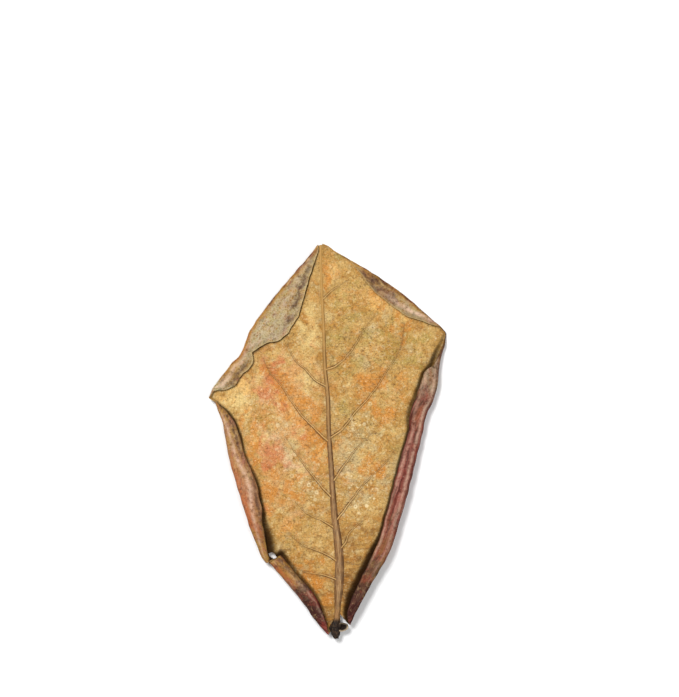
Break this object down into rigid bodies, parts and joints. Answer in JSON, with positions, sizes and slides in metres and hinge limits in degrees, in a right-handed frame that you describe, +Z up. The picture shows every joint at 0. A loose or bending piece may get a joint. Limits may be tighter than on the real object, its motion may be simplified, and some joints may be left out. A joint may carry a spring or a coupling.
{
  "type": "dried indian almond leaf",
  "caption": "Dried Indian almond leaf with its veined underside up, margins curled into tubes and folded over as flaps, and a short stalk stub.",
  "frame": {"origin": "under the middle of the leaf's bounding box, on the surface that it lies on", "axes": "+Y along the midrib towards the tip, +X to the right seen from above, +Z up, out of the veined underside"},
  "size_m": [0.1112, 0.1852, 0.0095],
  "materials": {
    "leaf": "dry, matt, mottled tan and maroon"
  },
  "bodies": {
    "root": {"leaf": "leaf"}
  },
  "joints": []
}
